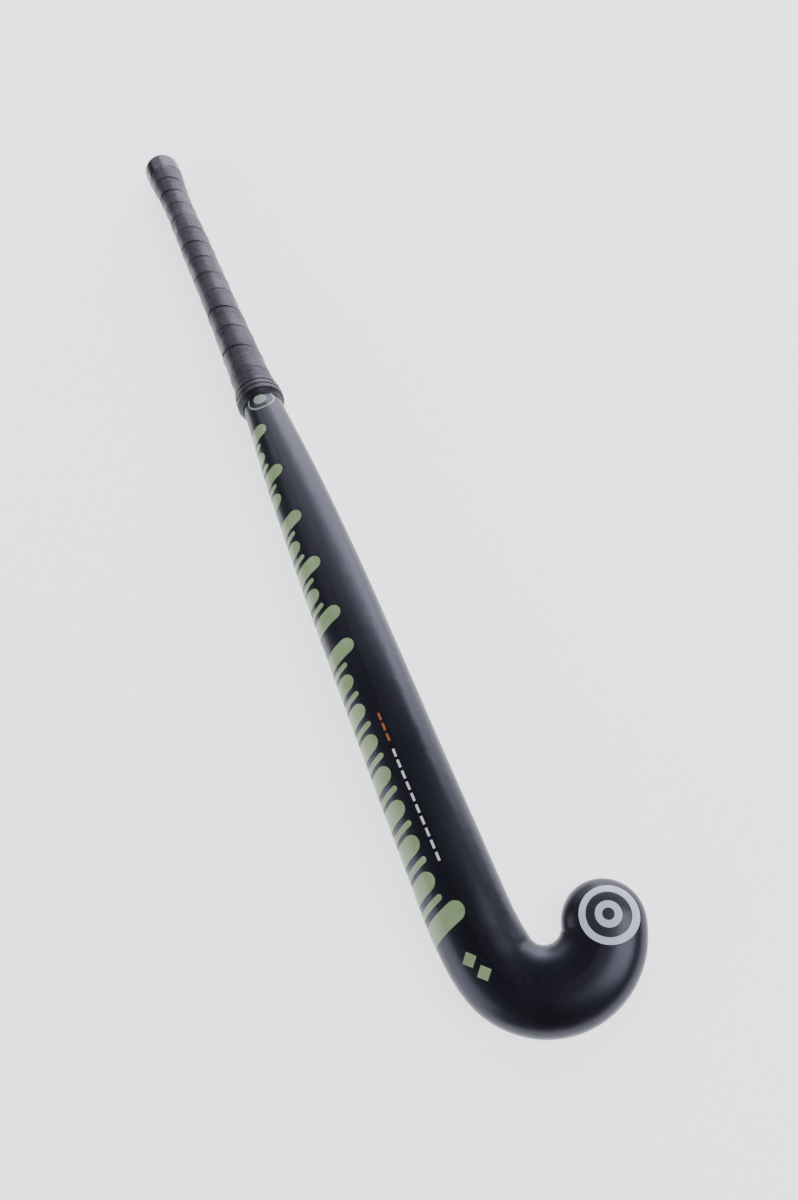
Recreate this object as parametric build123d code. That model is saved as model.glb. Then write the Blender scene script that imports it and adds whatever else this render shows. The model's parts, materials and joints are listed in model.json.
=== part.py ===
from build123d import *
import math
import os

# A 36.5 inch composite field hockey stick lying face down on the floor, in millimetres.
# While it is being built, y = 0 is the bottom edge of the head and y grows towards the butt,
# x = 0 is the middle of the shaft and +X is the toe side. At the end everything is moved so
# that the origin is at the middle of the bottom of the whole stick.

# --- overall sizes ---
total_length = 927.0
handle_end = 915.0            # where the laminated shell stops and the rubber cap takes over
collar_thickness = 28.8
collar_line = 545.0           # where the round handle turns into the D-shaped shaft
grip_lower_end = 533.0
grip_upper_end = 898.0        # the cap's skirt starts here
band_lower_end = 529.0
band_upper_end = 547.0
bow_height = 20.2             # highest point of the face side above the floor
bow_peak = 249.0              # distance of that point from the bottom of the head
bow_reach = 41.0              # the curve goes on this far above its peak, then turns straight
face_run = 90.0               # length of the straight, flat playing face
belly_offset = 3.2            # how far the shaft's middle stands over to the toe side
slope_step = 1.0              # distance either side over which a slope is measured
knob_axis_height = 17.2       # centre of the butt knob above the floor

# Shaft stations from butt to head: distance from the head's bottom, width, thickness.
shaft_stations = [
    (923.0, 29.4, 29.4),
    (900.0, 28.6, 28.6),
    (865.0, 24.2, 24.2),
    (780.0, 23.8, 23.8),
    (680.0, 24.4, 24.4),
    (610.0, 26.6, 26.6),
    (collar_line, 30.0, collar_thickness),
    (500.0, 34.6, 28.0),
    (455.0, 39.6, 27.3),
    (400.0, 43.6, 26.5),
    (340.0, 46.4, 25.8),
    (275.0, 47.6, 25.7),
    (211.0, 48.3, 25.6),
    (150.0, 49.2, 25.4),
    (105.0, 50.0, 25.2),
]
d_section_end = 280.0         # below this the section is the full D shape of the shaft

# --- hook of the head, a path of two arcs and a short straight in the plane of the face ---
throat_width = 50.3
toe_width = 47.9
throat_thickness = 25.2
toe_thickness = 21.4
heel_radius = 168.3
heel_turn = 0.165             # radians
hook_radius = 34.1
hook_turn = 2.601             # radians
toe_straight = 1.9
heel_sections = 2
hook_sections = 11

# --- cross-section ---
side_height = 0.353           # height of the widest line of the D shape, as a part of its thickness
face_corner = 4.0             # reach of the rounded corner between the face and the side
round_corner = 0.45           # the same reach on the round handle, as a part of its width
corner_pull = 0.6
side_pull = 0.65
dome_rise = 0.609
dome_reach = 0.59
circle_pull = 0.5523          # pull of a cubic curve that follows a quarter circle
face_skim = 0.05              # skimmed off the head's face so that it is a true plane

# --- layers ---
shell_wall = 2.0
tube_wall = 1.0
web_half = 1.0
film_thickness = 0.15
base_tape_thickness = 0.3
grip_outside = 2.4            # outer surface of the grip above the shell
band_outside = 3.1

# --- inner pieces ---
core_end = 150.0              # the head's foam core reaches this far up the shaft
plug_start = 878.0
spigot_radius = 8.0
spigot_length = 26.0
web_plane = 1.6               # x of the wall between the two inner tubes

# --- cap ---
cap_radius = 17.1
cap_rim = 2.0
cap_pole = 0.5                # flat left at the top of the dome

# --- graphics, all as thin films on the back of the stick ---
bar_groups = [(494.0, 4), (396.0, 5), (272.0, 9)]    # upper end of each row of bars, and their number
bar_pitch = 23.6
bar_thick = 12.0
bar_thin = 4.0
bar_thin_step = 12.4
bar_tall_end = 1.5            # x where the long bars end on the back
bar_low_end = -8.0
bar_slant = 14.0              # degrees
bar_far_end = -40.0
film_floor = 0.26             # films stop at this part of the thickness above the face
cutter_height = 60.0          # plan shapes are raised this high, clear of the whole stick
orange_dashes = (214.0, 3)
white_dashes = (187.0, 10)
dash_pitch = 7.8
dash_length = 5.4
dash_width = 1.5
dash_line = -1.6
dash_low = 104.0              # the bars beside the dashes stay short
dash_high = 226.0
mark_place = (-8.0, 55.0)
mark_size = 6.5
mark_gap = 3.2
mark_turn = 45.0              # degrees
toe_badge_place = (72.4, 46.6)
toe_badge_radius = 16.5
toe_ring_outer = 12.6
toe_ring_inner = 7.4
toe_dot = 3.4
collar_badge_place = (5.0, 524.0)
collar_badge_radius = 11.0
collar_ring_width = 1.5
collar_dot = 5.2
collar_badge_gap = 0.2        # the badge stops this far short of the band

# --- worked out from the sizes above ---
far = 2000.0                  # larger than the stick, for cutting blocks
face_slope = bow_height / (face_run + (bow_peak - face_run) / 2)
# The hook's path starts at this y, which puts the bottom edge of the head at y = 0.
path_start = (
    heel_radius * math.sin(heel_turn)
    + hook_radius * (1 - math.sin(heel_turn))
    + (throat_width + toe_width) / 4
    + side_height * throat_thickness * face_slope
)
face_angle = math.atan(face_slope)
bow_curve = face_slope / (bow_peak - face_run)
bow_end = bow_peak + bow_reach
upper_slope = -bow_curve * (bow_end - bow_peak)


def blend(start, end, share):
    return start + (end - start) * share


def ease(share):
    share = min(max(share, 0.0), 1.0)
    return share * share * (3 - 2 * share)


def bow_profile(y):
    """Height of the shaft's face side above the floor: a straight, an arc and a straight."""
    if y < face_run:
        return face_slope * y
    if y < bow_end:
        return bow_height - bow_curve * (y - bow_peak) ** 2 / 2
    return bow_height - bow_curve * (bow_end - bow_peak) ** 2 / 2 + upper_slope * (y - bow_end)


def shaft_x(y):
    """The shaft's middle bellies out to the toe side between the head and the butt."""
    share = (y - path_start) / (total_length - path_start)
    return belly_offset * (1 - (2 * share - 1) ** 2)


def face_height(y, thickness):
    """The shaft follows the bow. The handle is straight, from the collar to the knob."""
    if y <= collar_line:
        return bow_profile(y)
    collar_axis = bow_profile(collar_line) + collar_thickness / 2
    share = (y - collar_line) / (total_length - collar_line)
    return blend(collar_axis, knob_axis_height, share) - thickness / 2


def shaft_direction(y):
    """Unit vector along the shaft, pointing from butt to head.

    The handle's axis starts at the collar, so the collar takes the slope of the shaft below it.
    """
    above, below = y + slope_step, y - slope_step
    x_slope = (shaft_x(above) - shaft_x(below)) / (above - below)
    z_slope = (face_height(above, 0) - face_height(below, 0)) / (above - below)
    if below <= collar_line <= above:
        z_slope = upper_slope
    return Vector(-x_slope, -1, -z_slope).normalized()


def shaft_plane(y, thickness):
    """Plane across the shaft. Its X points to the toe side and its Y away from the face."""
    direction = shaft_direction(y)
    across = Vector(0, 0, 1).cross(direction)
    return Plane(origin=(shaft_x(y), y, face_height(y, thickness)), x_dir=across, z_dir=direction)


head_plane = Plane(
    origin=(0, 0, 0),
    x_dir=(1, 0, 0),
    z_dir=(0, -math.sin(face_angle), math.cos(face_angle)),
)


def along_arc(x, s, heading, radius, turn):
    """Point and heading after an arc to the left of the heading, which is measured from -s."""
    centre_x = x + radius * math.cos(heading)
    centre_s = s + radius * math.sin(heading)
    heading = heading + turn
    return centre_x - radius * math.cos(heading), centre_s - radius * math.sin(heading), heading


def hook_points():
    """Points down the middle of the hook: x, s along the face, heading."""
    start = (0.0, path_start, 0.0)
    points = [start]
    for i in range(heel_sections):
        points.append(along_arc(*start, heel_radius, heel_turn * (i + 1) / heel_sections))
    bend = points[-1]
    for i in range(hook_sections):
        points.append(along_arc(*bend, hook_radius, hook_turn * (i + 1) / hook_sections))
    x, s, heading = points[-1]
    points.append((x + toe_straight * math.sin(heading), s - toe_straight * math.cos(heading), heading))
    return points


def hook_plane(x, s, heading):
    across = head_plane.x_dir * math.cos(heading) + head_plane.y_dir * math.sin(heading)
    direction = head_plane.x_dir * math.sin(heading) - head_plane.y_dir * math.cos(heading)
    return Plane(origin=head_plane.from_local_coords(Vector(x, s, 0)), x_dir=across, z_dir=direction)


def section_edges(plane, width, thickness, roundness, grow):
    """Flat face, rounded face corners and domed back, grown outwards by the given amount."""
    half = width / 2 + grow
    tall = thickness + 2 * grow
    side = tall * blend(side_height, 0.5, roundness)
    corner = blend(face_corner + grow / 2, round_corner * 2 * half, roundness)
    rise = blend(dome_rise, circle_pull, roundness)
    reach = blend(dome_reach, circle_pull, roundness)
    flat = half - corner

    def place(u, v):
        return plane.from_local_coords(Vector(u, v - grow, 0))

    corner_curve = [
        (flat, 0),
        (half - corner * (1 - corner_pull), 0),
        (half, side * (1 - side_pull)),
        (half, side),
    ]
    dome_curve = [(half, side), (half, side + rise * (tall - side)), (reach * half, tall), (0, tall)]
    right_corner = Edge.make_bezier(*[place(u, v) for u, v in corner_curve])
    right_dome = Edge.make_bezier(*[place(u, v) for u, v in dome_curve])
    left_dome = Edge.make_bezier(*[place(-u, v) for u, v in reversed(dome_curve)])
    left_corner = Edge.make_bezier(*[place(-u, v) for u, v in reversed(corner_curve)])
    face_line = Edge.make_line(place(-flat, 0), place(flat, 0))
    return face_line, right_corner, right_dome, left_dome, left_corner


def roundness_at(y):
    return ease((y - d_section_end) / (collar_line - d_section_end))


def shaft_sections(grow):
    sections = []
    for y, width, thickness in shaft_stations:
        plane = shaft_plane(y, thickness)
        sections.append(Wire(section_edges(plane, width, thickness, roundness_at(y), grow)))
    return sections


def hook_shares():
    points = hook_points()
    lengths = [0.0]
    for before, after in zip(points, points[1:]):
        lengths.append(lengths[-1] + math.dist(before[:2], after[:2]))
    return [(point, length / lengths[-1]) for point, length in zip(points, lengths)]


def hook_wires(grow):
    sections = []
    for point, share in hook_shares():
        width = blend(throat_width, toe_width, share * share)
        thickness = blend(throat_thickness, toe_thickness, share)
        sections.append(Wire(section_edges(hook_plane(*point), width, thickness, 0.0, grow)))
    return sections


def toe_end(grow):
    """The toe is half a section spun half a turn about the upright at the path's end."""
    plane = hook_plane(*hook_points()[-1])
    edges = section_edges(plane, toe_width, toe_thickness, 0.0, grow)
    bottom = plane.from_local_coords(Vector(0, -grow, 0))
    top = plane.from_local_coords(Vector(0, toe_thickness + grow, 0))
    start = edges[1] @ 0
    half = Face(Wire([Edge.make_line(bottom, start), edges[1], edges[2], Edge.make_line(top, bottom)]))
    return Solid.revolve(half, -180, Axis(bottom, top - bottom))


def stick_body(grow):
    """The whole stick, grown or shrunk evenly. It runs a little past the handle's end."""
    body = Solid.make_loft(shaft_sections(grow) + hook_wires(grow))
    return Part() + [body, toe_end(grow)]


def slab(y_low, y_high):
    """Everything between two planes across the stick."""
    return Pos(0, (y_low + y_high) / 2, 0) * Box(far, y_high - y_low, far)


def layer(outside, inside, y_low, y_high):
    """A sleeve round the handle between two distances from the shell's surface."""
    outer = stick_body(outside) & slab(y_low, y_high)
    return outer - stick_body(inside)


def trim_face(body):
    """Skims the head's face down to one true plane."""
    skim = Box(far, far, far, align=(Align.CENTER, Align.MAX, Align.MAX))
    return body - head_plane.location * Pos(0, face_run, face_skim) * skim


def butt_plane():
    """Plane at the handle's end whose Z points out of the butt, with its origin on the handle's axis."""
    thickness = shaft_stations[0][2]
    end = shaft_plane(handle_end, thickness)
    middle = end.from_local_coords(Vector(0, thickness / 2, 0))
    return Plane(origin=middle, x_dir=end.x_dir, z_dir=end.z_dir * -1)


def beyond_handle():
    return butt_plane().location * Box(far, far, far, align=(Align.CENTER, Align.CENTER, Align.MIN))


def carbon_shell():
    """The painted outer laminate, hollow and open at the handle's end."""
    return trim_face(stick_body(0.0)) - stick_body(-shell_wall) - beyond_handle()


def head_foam_core():
    """Rigid foam that fills the hook and the lower end of the shaft."""
    return stick_body(-shell_wall) & slab(-far, core_end)


def inner_tube(side):
    """One of two laminate tubes side by side. Their touching walls stiffen the shaft."""
    outer = stick_body(-shell_wall) & slab(core_end, plug_start)
    bore = stick_body(-shell_wall - tube_wall) & slab(core_end - tube_wall, plug_start + tube_wall)
    half = Box(far, far, far, align=(Align.MIN if side > 0 else Align.MAX, Align.CENTER, Align.CENTER))
    chamber = bore & Pos(web_plane + side * web_half, 0, 0) * half
    return (outer & Pos(web_plane, 0, 0) * half) - chamber


def handle_end_plug():
    """Wooden plug glued into the end of the handle, drilled for the cap's stem."""
    body = (stick_body(-shell_wall) & slab(plug_start, far)) - beyond_handle()
    stem_hole = Cylinder(spigot_radius, spigot_length, align=(Align.CENTER, Align.CENTER, Align.MAX))
    return body - butt_plane().location * stem_hole


def butt_cap():
    """Moulded rubber dome with a skirt round the handle's end and a stem in the plug."""
    height = total_length - handle_end
    with BuildSketch(Plane.XZ) as profile:
        with BuildLine():
            Line((0, 0), (cap_radius, 0))
            Line((cap_radius, 0), (cap_radius, cap_rim))
            Bezier(
                (cap_radius, cap_rim),
                (cap_radius, blend(cap_rim, height, circle_pull)),
                (blend(cap_pole, cap_radius, circle_pull), height),
                (cap_pole, height),
            )
            Line((cap_pole, height), (0, height))
            Line((0, height), (0, 0))
        make_face()
    dome = revolve(profile.sketch, Axis.Z)
    stem = Cylinder(spigot_radius, spigot_length, align=(Align.CENTER, Align.CENTER, Align.MAX))
    skirt = layer(grip_outside, 0.0, grip_upper_end, far) - beyond_handle()
    return skirt + butt_plane().location * (dome + stem)


def finishing_band():
    """Tape that closes the grip: it laps over the grip's edge and steps down to the shaft."""
    over_grip = layer(band_outside, grip_outside, grip_lower_end, band_upper_end)
    over_shaft = layer(band_outside, 0.0, band_lower_end, grip_lower_end)
    return over_grip + over_shaft


def film(cutter):
    """A printed film where the upright cutter meets the back of the stick."""
    return (stick_body(film_thickness) & (cutter & back_envelope())) - stick_body(0.0)


def upright(shape, place, turn=0.0):
    """A plan shape raised to an upright prism at a place on the stick."""
    return Pos(place[0], place[1], 0) * Rot(0, 0, turn) * extrude(shape, cutter_height)


def back_envelope():
    """Everything higher than a part of the thickness, so that films stop on the heel side."""
    points = [(0.0, film_floor * throat_thickness)]
    for y, _, thickness in reversed(shaft_stations):
        if y <= collar_line:
            points.append((y, bow_profile(y) + film_floor * thickness))
    points += [(collar_line, cutter_height), (0.0, cutter_height)]
    outline = make_face(Polyline(*[(0, y, z) for y, z in points], close=True))
    return Pos(-far / 2, 0, 0) * extrude(outline, far, dir=(1, 0, 0))


def bar(y, thickness, end):
    """A rounded bar that starts on the back and wraps over the heel edge."""
    shape = SlotOverall(end - bar_far_end, thickness)
    middle_x = (end + bar_far_end) / 2
    middle_y = y + math.tan(math.radians(bar_slant)) * bar_far_end / 2
    return upright(shape, (middle_x, middle_y), bar_slant)


def heel_graphic():
    """Rows of thick and thin slanted bars down the heel side."""
    bars = []
    for upper_end, count in bar_groups:
        for i in range(count):
            y = upper_end - i * bar_pitch
            tall = i % 2 == 0 and not dash_low < y < dash_high
            bars.append(bar(y, bar_thick, bar_tall_end if tall else bar_low_end))
            if i < count - 1:
                bars.append(bar(y - bar_thin_step, bar_thin, bar_low_end))
    return film(Part() + bars)


def dashes(first, count):
    """A line of small dashes down the middle of the back."""
    pieces = []
    for i in range(count):
        place = (dash_line, first - i * dash_pitch - dash_length / 2)
        pieces.append(upright(Rectangle(dash_width, dash_length), place))
    return film(Part() + pieces)


def heel_mark():
    """Two small squares beside the last bar."""
    size = Rectangle(mark_size, mark_size)
    step = mark_size + mark_gap
    x, y = mark_place
    return film(upright(size, (x, y), mark_turn) + upright(size, (x + step / 2, y - step), mark_turn))


def toe_badge():
    """A disc on the toe, less the rings that are printed inside it."""
    disc = upright(Circle(toe_badge_radius), toe_badge_place)
    return film(disc) - toe_badge_ring()


def toe_badge_ring():
    """A dark ring and a dot inside the disc on the toe."""
    ring = Circle(toe_ring_outer) - Circle(toe_ring_inner) + Circle(toe_dot)
    return film(upright(ring, toe_badge_place))


def collar_badge():
    """A ring with a dot, just below the band that covers its upper edge."""
    hollow = Circle(collar_badge_radius - collar_ring_width)
    ring = Circle(collar_badge_radius) - hollow + Circle(collar_dot)
    prism = upright(ring, collar_badge_place)
    return film(prism & slab(0, band_lower_end - collar_badge_gap))


def all_parts():
    return {
        "carbon_shell": carbon_shell(),
        "head_foam_core": head_foam_core(),
        "inner_tube_heel_side": inner_tube(-1),
        "inner_tube_toe_side": inner_tube(1),
        "handle_end_plug": handle_end_plug(),
        "butt_cap": butt_cap(),
        "grip_base_tape": layer(base_tape_thickness, 0.0, grip_lower_end, grip_upper_end),
        "grip_wrap": layer(grip_outside, base_tape_thickness, grip_lower_end, grip_upper_end),
        "finishing_band": finishing_band(),
        "heel_graphic": heel_graphic(),
        "orange_dashes": dashes(*orange_dashes),
        "white_dashes": dashes(*white_dashes),
        "heel_mark": heel_mark(),
        "toe_badge_film": toe_badge(),
        "toe_badge_ring": toe_badge_ring(),
        "collar_badge": collar_badge(),
    }


os.makedirs("parts", exist_ok=True)
parts = all_parts()
box = Compound(list(parts.values())).bounding_box()
to_origin = Pos(-(box.min.X + box.max.X) / 2, -(box.min.Y + box.max.Y) / 2, -box.min.Z)
for name, part in parts.items():
    export_step(to_origin * part, f"parts/{name}.step")
print("moved by", to_origin.position)
print("size", box.size)
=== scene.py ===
import json
import math

import bpy
import numpy as np
from mathutils import Matrix, Vector
from mathutils.bvhtree import BVHTree


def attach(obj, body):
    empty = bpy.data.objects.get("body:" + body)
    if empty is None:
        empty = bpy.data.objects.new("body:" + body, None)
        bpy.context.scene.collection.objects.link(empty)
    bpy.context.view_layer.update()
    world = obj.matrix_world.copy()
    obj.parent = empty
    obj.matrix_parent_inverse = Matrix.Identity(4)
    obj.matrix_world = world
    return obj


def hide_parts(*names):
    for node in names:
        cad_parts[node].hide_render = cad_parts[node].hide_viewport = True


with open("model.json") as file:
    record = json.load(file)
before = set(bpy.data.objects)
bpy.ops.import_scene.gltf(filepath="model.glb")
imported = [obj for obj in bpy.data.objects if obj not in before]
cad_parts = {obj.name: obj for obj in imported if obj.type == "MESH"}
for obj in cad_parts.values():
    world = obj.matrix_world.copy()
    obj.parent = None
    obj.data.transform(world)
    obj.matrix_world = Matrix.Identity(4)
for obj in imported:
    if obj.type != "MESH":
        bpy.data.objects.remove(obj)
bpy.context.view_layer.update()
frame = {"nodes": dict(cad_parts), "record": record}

# All lengths are in metres, in the frame of the CAD model: the stick lies face down,
# +Y runs from the head to the butt, +X to the toe side and +Z away from the floor.

MM = 0.001

# --- grip tape ---
# distance between the first two turns, by the cap
TAPE_PITCH = 20.9 * MM
# the turns lie further apart towards the shaft
TAPE_PITCH_GROWTH = 0.37 * MM
# the winding starts under the cap's edge
TAPE_FIRST_TURN = -2
TAPE_LAST_TURN = 15
STEPS_PER_TURN = 88
TAPE_OVERLAP = 4.2 * MM
TAPE_THICKNESS = 1.85 * MM
# the tape thins down to this at its edges
TAPE_EDGE = 0.3 * MM
# length over which the tape settles back down past the overlap
TAPE_DRAPE = 5.0 * MM
# the rolled edge that faces the butt: its height, place and width, and the drop at its very end
TAPE_LIP = 0.15 * MM
LIP_PLACE = 0.8 * MM
LIP_WIDTH = 0.6 * MM
LIP_DROP = 0.3 * MM
# pressed into a turn by the edge of the turn that laps over it
TAPE_GROOVE = 0.25 * MM
GROOVE_WIDTH = 1.3 * MM
# painted shade: the dark strips beside the lapping edge, where the next turn's edge casts a shadow gap,
# and at the tape's own edge
SEAM_SHADE_STRIP = 1.9 * MM
SEAM_SHADE_EDGE = 0.3 * MM
# the edge strays from its even path in a slow and a quick wave, at so many radians per turn
WANDER_SLOW = 0.7 * MM
WANDER_SLOW_RATE = 3.1
WANDER_QUICK = 0.5 * MM
WANDER_QUICK_RATE = 7.7
WANDER_QUICK_START = 1.3
# small puckers by the edge, so many in a turn, that come and go along the handle
PUCKER = 0.12 * MM
PUCKERS_PER_TURN = 5.3
PUCKER_RATE = 2.3
PUCKER_REACH = 5 * MM
# the underside is pressed in by this much
TAPE_SINK = 0.05 * MM
# a ring of tape with less than this in sight of the grip's ends is left out
TAPE_SHORTEST = 1.5 * MM

# --- finishing band ---
# spacing of the band's own edges
BAND_TURN = 5.8 * MM
BAND_STEP = 0.6 * MM
BAND_STEP_RISE = 0.12
BAND_BULGE = 0.45 * MM
BAND_BULGE_POWER = 0.7
# the band climbs this high over the grip, in this length past the grip's lower end
BAND_OVER_GRIP = 2.75 * MM
BAND_CLIMB = 1.5 * MM
# thickness at both ends, and the shares of the length where the ends have reached it
BAND_END = 0.25 * MM
BAND_LOWER_END = 0.03
BAND_UPPER_END = 0.96
# the lower edge is wound a little askew
BAND_SWAY = 0.7 * MM
BAND_SWAY_TURN = 0.05
# painted shade along the edges of the band's turns: how dark it is at an edge, and the share of a turn's
# width over which it fades
BAND_SEAM_SHADE = 0.9
BAND_SEAM_WIDTH = 0.14
# the inside: sunk into the shaft, and lower than the outside over the grip
BAND_SINK = 0.1 * MM
BAND_THICKNESS = 0.8 * MM
BAND_INNER_LEAD = 0.1 * MM
BAND_INNER_CLIMB = 1 * MM
BAND_ROWS = 76
BAND_INNER_ROWS = 8
BAND_COLUMNS = 120
# the shaft's radius is measured this far past the band's ends
BAND_MARGIN = 4 * MM

# --- rays that measure the handle's radius ---
RAY_REACH = 0.06
RAY_COLUMNS = 48
GRIP_RAY_ROWS = 110
BAND_RAY_ROWS = 40
# part of a turn from the heel side to the top of the handle
QUARTER_TURN = 0.25

# --- camera and lights ---
CAMERA_PLACE = (0.02745, -0.59553, 0.63319)
CAMERA_RIGHT = (0.90093, -0.33793, -0.27228)
CAMERA_UP = (0.43297, 0.74252, 0.51107)
# millimetres, on a 36 mm frame
CAMERA_LENS = 32.6
LAMP_DISTANCE = 4.0
LAMP_COLOUR = (0.875, 0.87, 1.0)
FLOOR_HALF = 40.0

# --- sockets of Blender's Mix node in its colour mode ---
MIX_FACTOR = 0
MIX_FIRST = 6
MIX_SECOND = 7
MIX_RESULT = 2


# ---------------------------------------------------------------- materials

class Paint:
    """A node material that is built up call by call. Keywords set the shader's own sockets.

    Texture scales count features per metre, roughly. A stretch multiplies them along X, Y and Z.
    """

    NOISE_ROUGHNESS = 0.55

    def __init__(self, name, **sockets):
        self.material = bpy.data.materials.new(name)
        self.material.use_nodes = True
        self.tree = self.material.node_tree
        self.shader = self.tree.nodes["Principled BSDF"]
        self.coordinates = self.tree.nodes.new("ShaderNodeTexCoord").outputs["Object"]
        self.normal = None
        for socket, value in sockets.items():
            self.shader.inputs[socket.replace("_", " ")].default_value = value

    def node(self, kind, **inputs):
        """A new node. Its inputs are linked where a socket is given, and set otherwise."""
        node = self.tree.nodes.new(kind)
        for name, value in inputs.items():
            socket = node.inputs[name.replace("_", " ")]
            if isinstance(value, bpy.types.NodeSocket):
                self.tree.links.new(value, socket)
            else:
                socket.default_value = value
        return node

    def noise(self, scale, detail, stretch=None):
        vector = self.coordinates
        if stretch:
            vector = self.node("ShaderNodeMapping", Vector=vector, Scale=stretch).outputs["Vector"]
        node = self.node("ShaderNodeTexNoise", Vector=vector, Scale=scale, Detail=detail,
                         Roughness=self.NOISE_ROUGHNESS)
        return node.outputs["Fac"]

    def cells(self, scale):
        node = self.node("ShaderNodeTexVoronoi", Vector=self.coordinates, Scale=scale)
        return node.outputs["Distance"]

    def ramp(self, factor, stops):
        """Two stops of a factor and a colour. A single number stands for a grey."""
        node = self.node("ShaderNodeValToRGB", Fac=factor)
        for element, (place, colour) in zip(node.color_ramp.elements, stops):
            element.position = place
            channels = colour if isinstance(colour, tuple) else (colour, colour, colour)
            element.color = (*channels, 1.0)
        return node.outputs["Color"]

    def mix(self, factor, first, second, blend="MIX"):
        """A colour source, blended by a factor with a second, plain colour."""
        node = self.tree.nodes.new("ShaderNodeMix")
        node.data_type = "RGBA"
        node.blend_type = blend
        self.tree.links.new(factor, node.inputs[MIX_FACTOR])
        self.tree.links.new(first, node.inputs[MIX_FIRST])
        node.inputs[MIX_SECOND].default_value = (*second, 1.0)
        return node.outputs[MIX_RESULT]

    def attribute(self, name):
        node = self.tree.nodes.new("ShaderNodeAttribute")
        node.attribute_name = name
        return node.outputs["Fac"]

    def feed(self, socket, source):
        self.tree.links.new(source, self.shader.inputs[socket])

    def bump(self, height, strength, distance):
        """Adds relief on top of any relief that was added before."""
        node = self.node("ShaderNodeBump", Height=height, Strength=strength, Distance=distance)
        if self.normal is not None:
            self.tree.links.new(self.normal, node.inputs["Normal"])
        self.normal = node.outputs["Normal"]
        self.feed("Normal", self.normal)

    def orange_peel(self):
        self.bump(self.noise(900.0, 2.0), strength=0.05, distance=0.0002)


def shell_paint():
    """Satin black lacquer over the laminate: orange peel, a faint blue cast and fine flakes."""
    paint = Paint("satin_black_lacquer", Coat_Weight=0.1, Coat_Roughness=0.2, Specular_IOR_Level=0.52,
                  Specular_Tint=(0.82, 0.82, 1.0, 1.0), Coat_Tint=(0.93, 0.93, 1.0, 1.0))
    cloud = paint.noise(14.0, 4.0)
    colour = paint.ramp(cloud, [(0.35, (0.0055, 0.0056, 0.0080)), (0.7, (0.0095, 0.0096, 0.0135))])
    flake = paint.ramp(paint.cells(2600.0), [(0.0, 0.55), (0.12, 0.0)])
    paint.feed("Base Color", paint.mix(flake, colour, (0.03, 0.031, 0.045)))
    rough = paint.ramp(paint.noise(55.0, 5.0, (1.0, 0.25, 1.0)), [(0.3, 0.31), (0.75, 0.41)])
    paint.feed("Roughness", rough)
    paint.orange_peel()
    return paint.material


def printed_film(name, dark, light):
    """Printed colour under the lacquer, a little uneven, with fine specks."""
    roughness = 0.36
    paint = Paint(name, Coat_Weight=0.2, Coat_Roughness=0.2)
    cloud = paint.ramp(paint.noise(70.0, 4.0), [(0.3, dark), (0.7, light)])
    specks = paint.ramp(paint.cells(1500.0), [(0.0, 0.35), (0.1, 0.0)])
    paint.feed("Base Color", paint.mix(specks, cloud, dark, "MULTIPLY"))
    rough = paint.ramp(paint.noise(160.0, 3.0), [(0.3, roughness - 0.05), (0.7, roughness + 0.06)])
    paint.feed("Roughness", rough)
    paint.orange_peel()
    return paint.material


def grip_paint():
    """Cushioned tape: leathery grain, stretch lines round the handle and rubbed, shinier patches."""
    paint = Paint("cushioned_grip_tape", Specular_IOR_Level=0.33, Specular_Tint=(0.88, 0.87, 1.0, 1.0))
    cloud = paint.noise(42.0, 5.0, (1.0, 0.6, 1.0))
    base = paint.ramp(cloud, [(0.3, (0.024, 0.023, 0.029)), (0.72, (0.044, 0.043, 0.052))])
    leather = paint.noise(520.0, 4.0, (1.0, 1.4, 1.0))
    grain = paint.ramp(leather, [(0.4, 0.85), (0.56, 0.0)])
    grained = paint.mix(grain, base, (0.010, 0.010, 0.013))
    # painted shade: the seam mask darkens the colour to near black in the shadow gap beside each lapping
    # edge and on the tape's inside; the same mask also roughens it
    seam_shade = paint.attribute("seam_shade")
    paint.feed("Base Color", paint.mix(seam_shade, grained, (0.0015, 0.0015, 0.002)))
    rubbed = paint.ramp(paint.noise(34.0, 5.0, (1.4, 0.8, 1.4)), [(0.36, 0.30), (0.62, 0.47)])
    paint.feed("Roughness", paint.mix(seam_shade, rubbed, (0.8, 0.8, 0.8)))
    paint.bump(paint.cells(800.0), strength=0.3, distance=0.0003)
    paint.bump(leather, strength=0.5, distance=0.0006)
    paint.bump(paint.noise(170.0, 5.0, (0.25, 1.6, 0.25)), strength=0.45, distance=0.0008)
    return paint.material


def band_paint():
    """Stretched vinyl tape: smoother than the grip, with stretch lines round the handle."""
    paint = Paint("stretched_vinyl_tape", Specular_IOR_Level=0.36, Specular_Tint=(0.9, 0.9, 1.0, 1.0))
    cloud = paint.noise(90.0, 4.0, (1.0, 5.0, 1.0))
    base = paint.ramp(cloud, [(0.3, (0.010, 0.010, 0.0125)), (0.72, (0.020, 0.020, 0.024))])
    # painted shade: darker along the edges of the band's turns and on its inside
    paint.feed("Base Color", paint.mix(paint.attribute("seam_shade"), base, (0.004, 0.004, 0.005)))
    rough = paint.ramp(paint.noise(200.0, 3.0), [(0.3, 0.36), (0.75, 0.5)])
    paint.feed("Roughness", rough)
    paint.bump(paint.noise(260.0, 3.0, (0.4, 6.0, 0.4)), strength=0.2, distance=0.0002)
    return paint.material


def cap_paint():
    """Moulded rubber with a fine spark-eroded texture and rubbed, shinier patches."""
    paint = Paint("moulded_cap_rubber", Specular_IOR_Level=0.34, Specular_Tint=(0.9, 0.9, 1.0, 1.0))
    base = paint.ramp(paint.noise(60.0, 4.0), [(0.3, (0.010, 0.010, 0.014)), (0.7, (0.022, 0.022, 0.028))])
    paint.feed("Base Color", base)
    rough = paint.ramp(paint.noise(35.0, 4.0), [(0.3, 0.2), (0.75, 0.31)])
    paint.feed("Roughness", rough)
    paint.bump(paint.noise(1100.0, 3.0), strength=0.12, distance=0.0002)
    return paint.material


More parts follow.
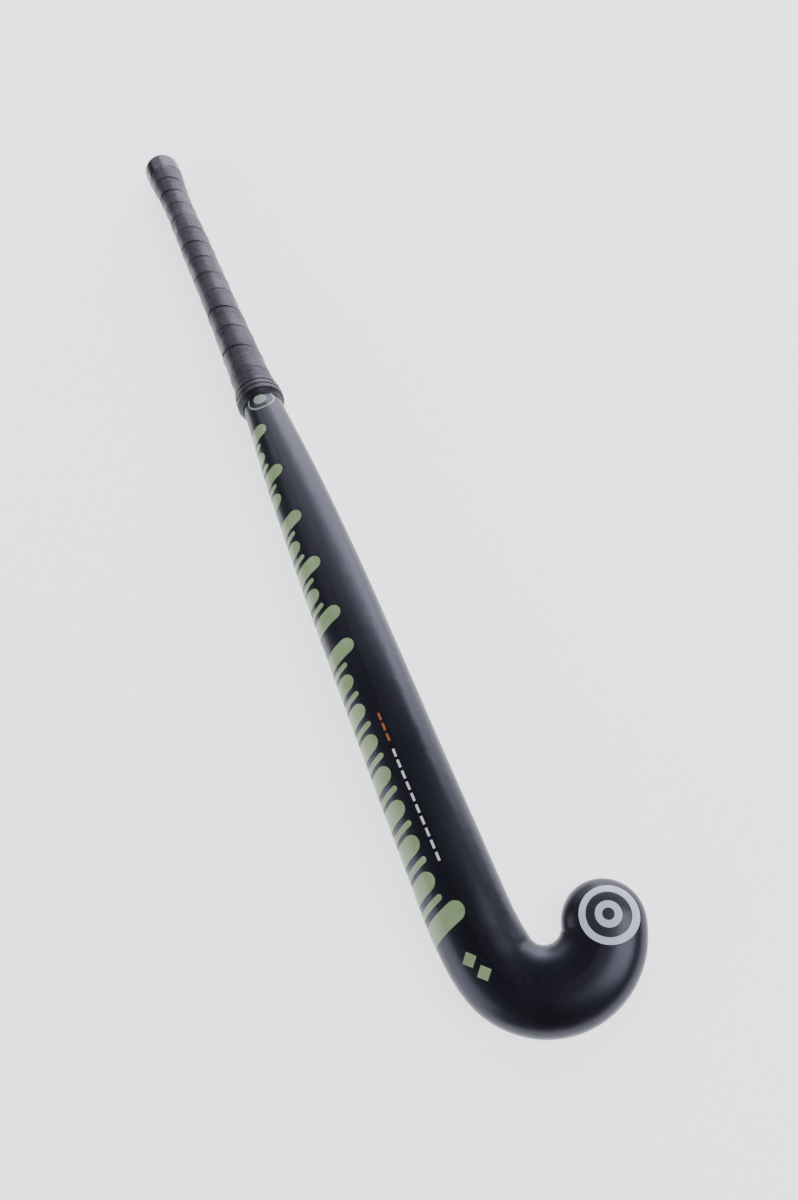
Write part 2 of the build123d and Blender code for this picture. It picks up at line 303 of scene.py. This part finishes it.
def inner_paint(name, dark, light, roughness, scale):
    """Foam, laminate, wood and base tape inside the stick."""
    paint = Paint(name)
    paint.feed("Base Color", paint.ramp(paint.noise(scale, 5.0), [(0.3, dark), (0.7, light)]))
    rough = paint.ramp(paint.noise(scale * 2, 3.0), [(0.3, roughness - 0.06), (0.7, roughness + 0.06)])
    paint.feed("Roughness", rough)
    paint.bump(paint.cells(scale * 6), strength=0.3, distance=0.0004)
    return paint.material


def floor_paint():
    paint = Paint("pale_floor", Specular_IOR_Level=0.2, Emission_Color=(0.96, 0.97, 1.0, 1.0),
                  Emission_Strength=1.8)
    colour = paint.ramp(paint.noise(2.5, 3.0), [(0.3, (0.90, 0.90, 0.905)), (0.7, (0.94, 0.94, 0.945))])
    paint.feed("Base Color", colour)
    rough = paint.ramp(paint.noise(30.0, 3.0), [(0.3, 0.7), (0.7, 0.8)])
    paint.feed("Roughness", rough)
    return paint.material


def dress(node, material):
    """Gives every slot of a CAD node the same material."""
    for slot in frame["nodes"][node].material_slots:
        slot.material = material


# ---------------------------------------------------------------- the handle's surface

class Handle:
    """Distances along the handle's straight axis and radii of the CAD surfaces round it."""

    def __init__(self):
        mounts = {mount["name"]: mount for mount in frame["record"]["mounts"]}
        self.origin = Vector(mounts["handle_grip"]["pos_m"])
        self.axis = Vector(mounts["handle_grip"]["axis"]).normalized()
        self.side = (Vector((1, 0, 0)) - self.axis * self.axis.x).normalized()
        self.up = self.side.cross(self.axis)

    def along(self, node):
        """Lowest and highest distance along the axis that a CAD node reaches."""
        reach = [(vertex.co - self.origin).dot(self.axis) for vertex in frame["nodes"][node].data.vertices]
        return min(reach), max(reach)

    def outward(self, turn):
        """Direction at a part of a turn: 0 is the heel side, 0.25 the top, 0.5 the toe side."""
        angle = 2 * math.pi * turn
        return self.up * math.sin(angle) - self.side * math.cos(angle)

    def point(self, distance, turn, radius):
        return self.origin + self.axis * distance + self.outward(turn) * radius

    def radii(self, node, low, high, rows):
        """A lookup of the outer radius of a CAD node, as a function of distance and turn."""
        tree = BVHTree.FromObject(frame["nodes"][node], bpy.context.evaluated_depsgraph_get())
        table = np.zeros((rows, RAY_COLUMNS))
        for i, distance in enumerate(np.linspace(low, high, rows)):
            for j in range(RAY_COLUMNS):
                outward = self.outward(j / RAY_COLUMNS)
                start = self.origin + self.axis * distance + outward * RAY_REACH
                hit = tree.ray_cast(start, -outward, RAY_REACH)[0]
                table[i, j] = (hit - self.origin).dot(outward) if hit else np.nan
        fill_gaps(table)

        def radius(distance, turn):
            row = min(max((distance - low) / (high - low), 0.0), 1.0) * (rows - 1)
            column = (turn % 1.0) * RAY_COLUMNS
            i = min(int(row), rows - 2)
            j = int(column) % RAY_COLUMNS
            after = (j + 1) % RAY_COLUMNS
            row_share = row - i
            column_share = column - int(column)
            first = table[i, j] * (1 - column_share) + table[i, after] * column_share
            second = table[i + 1, j] * (1 - column_share) + table[i + 1, after] * column_share
            return first * (1 - row_share) + second * row_share

        return radius


def fill_gaps(table):
    """Fills the places where a ray missed from the places along the same column where it hit."""
    for column in table.T:
        good = np.flatnonzero(~np.isnan(column))
        column[:] = np.interp(np.arange(len(column)), good, column[good])


def ease(low, high, value):
    """Rises smoothly from 0 at low to 1 at high."""
    share = min(max((value - low) / (high - low), 0.0), 1.0)
    return share * share * (3 - 2 * share)


def swell(value, middle, width):
    """A smooth hill that is 1 high at its middle."""
    return math.exp(-(((value - middle) / width) ** 2))


def new_piece(name, points, faces, material, seam_shade):
    """A smooth-shaded mesh object. Its last argument is a mask of painted shade that darkens the vertices
    that lie in a seam.
    """
    mesh = bpy.data.meshes.new(name)
    mesh.from_pydata([tuple(point) for point in points], [], faces)
    mesh.materials.append(material)
    mesh.attributes.new("seam_shade", "FLOAT", "POINT").data.foreach_set("value", seam_shade)
    mesh.update()
    mesh.polygons.foreach_set("use_smooth", [True] * len(mesh.polygons))
    piece = bpy.data.objects.new(name, mesh)
    bpy.context.scene.collection.objects.link(piece)
    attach(piece, "root")
    return piece


def tube_faces(rings, ring_size):
    """Quads between neighbouring closed rings, and a cap on both ends."""
    faces = []
    for i in range(rings - 1):
        here = i * ring_size
        there = (i + 1) * ring_size
        for j in range(ring_size):
            after = (j + 1) % ring_size
            faces.append((here + j, here + after, there + after, there + j))
    faces.append(tuple(reversed(range(ring_size))))
    faces.append(tuple(range((rings - 1) * ring_size, rings * ring_size)))
    return faces


# ---------------------------------------------------------------- grip tape

def tape_thickness(across, width):
    """Thickness at a distance across the tape, which thins down towards both edges."""
    edge = min(across, width - across)
    return TAPE_EDGE + (TAPE_THICKNESS - TAPE_EDGE) * ease(0.0, TAPE_OVERLAP, edge)


def tape_lift(across, width):
    """Height of the tape's underside: it climbs over the far edge of the turn before it."""
    if across > TAPE_OVERLAP:
        return TAPE_EDGE * (1 - ease(TAPE_OVERLAP, TAPE_OVERLAP + TAPE_DRAPE, across))
    return tape_thickness(width - TAPE_OVERLAP + across, width)


def tape_edge(first, turn):
    """Where the tape's butt-side edge would lie along the handle, if the winding were even."""
    return first - turn * (TAPE_PITCH + TAPE_PITCH_GROWTH * turn)


def tape_wander(turn):
    """How far the edge strays from its even path."""
    slow = WANDER_SLOW * math.sin(turn * WANDER_SLOW_RATE)
    quick = WANDER_QUICK * math.sin(turn * WANDER_QUICK_RATE + WANDER_QUICK_START)
    return slow + quick


def tape_rows(width):
    """Distances across the tape from its butt-side edge, on its outside and back on its inside."""
    covered = width - TAPE_OVERLAP
    rolled_edge = [0.0, 0.2 * MM, 0.45 * MM, 0.8 * MM, 1.3 * MM, 2.0 * MM, 3.0 * MM, 4.2 * MM]
    flat = list(np.linspace(5.2 * MM, covered - 3.0 * MM, 8))
    seam_shade = [covered - 2.1 * MM, covered - 1.8 * MM, covered - 1.0 * MM, covered, width]
    inside = [width, width - 2 * MM, covered, width / 2, TAPE_OVERLAP, 2 * MM, 0.0]
    return rolled_edge + flat + seam_shade, inside


def grip_wrap(handle):
    """One long tape wound from the cap to the collar. Each turn laps over the one before it."""
    low, high = handle.along("grip_wrap")
    base = handle.radii("grip_base_tape", low, high, GRIP_RAY_ROWS)
    points = []
    seam_shade = []
    rings = 0
    for step in range((TAPE_LAST_TURN - TAPE_FIRST_TURN) * STEPS_PER_TURN + 1):
        turn = TAPE_FIRST_TURN + step / STEPS_PER_TURN
        place = turn + QUARTER_TURN
        edge = tape_edge(high, turn)
        width = edge - tape_edge(high, turn + 1) + TAPE_OVERLAP
        edge += tape_wander(turn)
        if min(edge, high) - max(edge - width, low) < TAPE_SHORTEST:
            continue
        rings += 1
        covered = width - TAPE_OVERLAP
        outside, inside = tape_rows(width)
        pucker = PUCKER * math.sin(turn * 2 * math.pi * PUCKERS_PER_TURN) * math.sin(turn * PUCKER_RATE)
        for across in outside:
            distance = min(max(edge - across, low), high)
            shown = edge - distance
            height = tape_lift(shown, width) + tape_thickness(shown, width)
            height += pucker * math.exp(-shown / PUCKER_REACH)
            height -= TAPE_GROOVE * swell(across, covered, GROOVE_WIDTH)
            height += TAPE_LIP * swell(across, LIP_PLACE, LIP_WIDTH)
            if across == 0.0:
                height -= LIP_DROP
            points.append(handle.point(distance, place, base(distance, place) + height))
            # painted shade: the strip beside the next turn's lapping edge and the tape's own edge
            in_seam_shade = across > covered - SEAM_SHADE_STRIP or across < SEAM_SHADE_EDGE
            seam_shade.append(1.0 if in_seam_shade else 0.0)
        for across in inside:
            distance = min(max(edge - across, low), high)
            height = tape_lift(edge - distance, width) - TAPE_SINK
            points.append(handle.point(distance, place, base(distance, place) + height))
            # painted shade: the inside is marked fully shaded
            seam_shade.append(1.0)
    faces = tube_faces(rings, len(outside) + len(inside))
    piece = new_piece("grip_tape", points, faces, grip_paint(), seam_shade)
    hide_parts("grip_wrap")


# ---------------------------------------------------------------- finishing band

def band_distance(low, high, share, turn):
    """Distance along the handle of a share of the band's length, with its lower edge askew."""
    sway = BAND_SWAY * math.cos(2 * math.pi * (turn - BAND_SWAY_TURN))
    return low + share * (high - low) + sway * (1 - share)


def finishing_band(handle):
    """Several turns of vinyl tape that close the grip and taper down to the shaft."""
    low, high = handle.along("finishing_band")
    collar, _ = handle.along("grip_wrap")
    shell = handle.radii("carbon_shell", low - BAND_MARGIN, high + BAND_MARGIN, BAND_RAY_ROWS)
    points = []
    seam_shade = []
    for row in range(BAND_ROWS):
        share = row / (BAND_ROWS - 1)
        for column in range(BAND_COLUMNS):
            turn = column / BAND_COLUMNS
            distance = band_distance(low, high, share, turn)
            height = BAND_OVER_GRIP * ease(low, collar + BAND_CLIMB, distance)
            height += BAND_BULGE * math.sin(math.pi * share) ** BAND_BULGE_POWER
            wound = (distance - low + turn * BAND_TURN) / BAND_TURN % 1.0
            height += BAND_STEP * (1 - wound) * ease(0.0, BAND_STEP_RISE, wound)
            height += BAND_END * ease(0.0, BAND_LOWER_END, share) * ease(1.0, BAND_UPPER_END, share)
            points.append(handle.point(distance, turn, shell(distance, turn) + height))
            # painted shade, darkest at the edge of each turn of the band
            seam_shade.append(BAND_SEAM_SHADE * (1 - ease(0.0, BAND_SEAM_WIDTH, min(wound, 1 - wound))))
    for row in reversed(range(BAND_INNER_ROWS)):
        share = row / (BAND_INNER_ROWS - 1)
        for column in range(BAND_COLUMNS):
            turn = column / BAND_COLUMNS
            distance = band_distance(low, high, share, turn)
            climbed = ease(collar - BAND_INNER_LEAD, collar + BAND_INNER_CLIMB, distance)
            height = -BAND_SINK + (BAND_OVER_GRIP - BAND_THICKNESS) * climbed
            points.append(handle.point(distance, turn, shell(distance, turn) + height))
            # painted shade: the inside is marked fully shaded
            seam_shade.append(1.0)
    piece = new_piece("finishing_tape", points, band_faces(), band_paint(), seam_shade)
    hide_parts("finishing_band")


def band_faces():
    """Quads over the rows of the outside and the inside, which close on each other."""
    rows = BAND_ROWS + BAND_INNER_ROWS
    faces = []
    for i in range(rows):
        here = i * BAND_COLUMNS
        there = ((i + 1) % rows) * BAND_COLUMNS
        for j in range(BAND_COLUMNS):
            after = (j + 1) % BAND_COLUMNS
            faces.append((here + j, there + j, there + after, here + after))
    return faces


# ---------------------------------------------------------------- stage

def floor():
    half = FLOOR_HALF
    corners = [(-half, -half, 0), (half, -half, 0), (half, half, 0), (-half, half, 0)]
    mesh = bpy.data.meshes.new("floor")
    mesh.from_pydata(corners, [], [(0, 1, 2, 3)])
    mesh.materials.append(floor_paint())
    piece = bpy.data.objects.new("floor", mesh)
    bpy.context.scene.collection.objects.link(piece)


def softbox(name, bearing, elevation, width, height, glow):
    """A far lamp aimed at the stick. The bearing is in degrees from +Y towards +X."""
    flat = math.cos(math.radians(elevation))
    place = LAMP_DISTANCE * Vector((
        flat * math.sin(math.radians(bearing)),
        flat * math.cos(math.radians(bearing)),
        math.sin(math.radians(elevation)),
    ))
    light = bpy.data.lights.new(name, "AREA")
    light.shape = "RECTANGLE"
    light.size = width
    light.size_y = height
    light.energy = glow * math.pi * width * height
    light.color = LAMP_COLOUR
    lamp = bpy.data.objects.new(name, light)
    lamp.matrix_world = Matrix.Translation(place) @ (-place).to_track_quat("-Z", "Y").to_matrix().to_4x4()
    bpy.context.scene.collection.objects.link(lamp)


def backdrop():
    """The room looks pale to the camera's own rays and dim to all others, so the stick stays dark."""
    world = bpy.data.worlds.new("studio")
    world.use_nodes = True
    nodes = world.node_tree.nodes
    links = world.node_tree.links
    dim = nodes["Background"]
    dim.inputs["Color"].default_value = (0.85, 0.86, 1.0, 1.0)
    dim.inputs["Strength"].default_value = 0.04
    pale = nodes.new("ShaderNodeBackground")
    pale.inputs["Color"].default_value = (0.96, 0.97, 1.0, 1.0)
    pale.inputs["Strength"].default_value = 1.7
    seen = nodes.new("ShaderNodeLightPath").outputs["Is Camera Ray"]
    mixed = nodes.new("ShaderNodeMixShader")
    factor, first, second = mixed.inputs
    links.new(seen, factor)
    links.new(dim.outputs["Background"], first)
    links.new(pale.outputs["Background"], second)
    links.new(mixed.outputs["Shader"], nodes["World Output"].inputs["Surface"])
    bpy.context.scene.world = world


def studio():
    floor()
    softbox("butt_softbox", bearing=36, elevation=17, width=3.6, height=2.3, glow=5.0)
    softbox("high_softbox", bearing=8, elevation=33, width=4.2, height=1.9, glow=2.2)
    softbox("heel_softbox", bearing=-92, elevation=20, width=4.4, height=2.7, glow=3.2)
    softbox("toe_softbox", bearing=69, elevation=18, width=1.4, height=2.9, glow=3.0)
    softbox("hook_softbox", bearing=128, elevation=48, width=2.4, height=2.6, glow=5.5)
    backdrop()


def camera():
    lens = bpy.data.cameras.new("camera")
    lens.lens = CAMERA_LENS
    lens.sensor_width = 36.0
    lens.sensor_fit = "AUTO"
    lens.clip_end = 50.0
    eye = bpy.data.objects.new("camera", lens)
    right = Vector(CAMERA_RIGHT)
    up = Vector(CAMERA_UP)
    turned = Matrix((right, up, right.cross(up))).transposed().to_4x4()
    eye.matrix_world = Matrix.Translation(CAMERA_PLACE) @ turned
    bpy.context.scene.collection.objects.link(eye)
    bpy.context.scene.camera = eye


# ---------------------------------------------------------------- assembly

camera()
studio()

dress("carbon_shell", shell_paint())
green = printed_film("printed_green", (0.22, 0.33, 0.135), (0.32, 0.44, 0.22))
dress("heel_graphic", green)
dress("heel_mark", green)
dress("orange_dashes", printed_film("printed_orange", (0.36, 0.09, 0.035), (0.50, 0.15, 0.06)))
dress("white_dashes", printed_film("printed_white", (0.70, 0.70, 0.73), (0.80, 0.80, 0.83)))
dress("toe_badge_film", printed_film("printed_lilac", (0.64, 0.64, 0.77), (0.72, 0.72, 0.85)))
dress("toe_badge_ring", printed_film("printed_dark", (0.022, 0.022, 0.032), (0.035, 0.035, 0.048)))
dress("collar_badge", printed_film("printed_pale", (0.22, 0.27, 0.20), (0.33, 0.37, 0.31)))
dress("butt_cap", cap_paint())
dress("head_foam_core", inner_paint("rigid_foam", (0.62, 0.55, 0.38), (0.75, 0.69, 0.5), 0.8, 120.0))
laminate = inner_paint("bare_laminate", (0.010, 0.010, 0.011), (0.028, 0.028, 0.030), 0.4, 200.0)
dress("inner_tube_heel_side", laminate)
dress("inner_tube_toe_side", laminate)
dress("handle_end_plug", inner_paint("plug_wood", (0.36, 0.23, 0.12), (0.5, 0.34, 0.19), 0.65, 60.0))
dress("grip_base_tape", inner_paint("base_tape", (0.34, 0.31, 0.25), (0.42, 0.39, 0.32), 0.6, 150.0))

handle = Handle()
grip_wrap(handle)
finishing_band(handle)
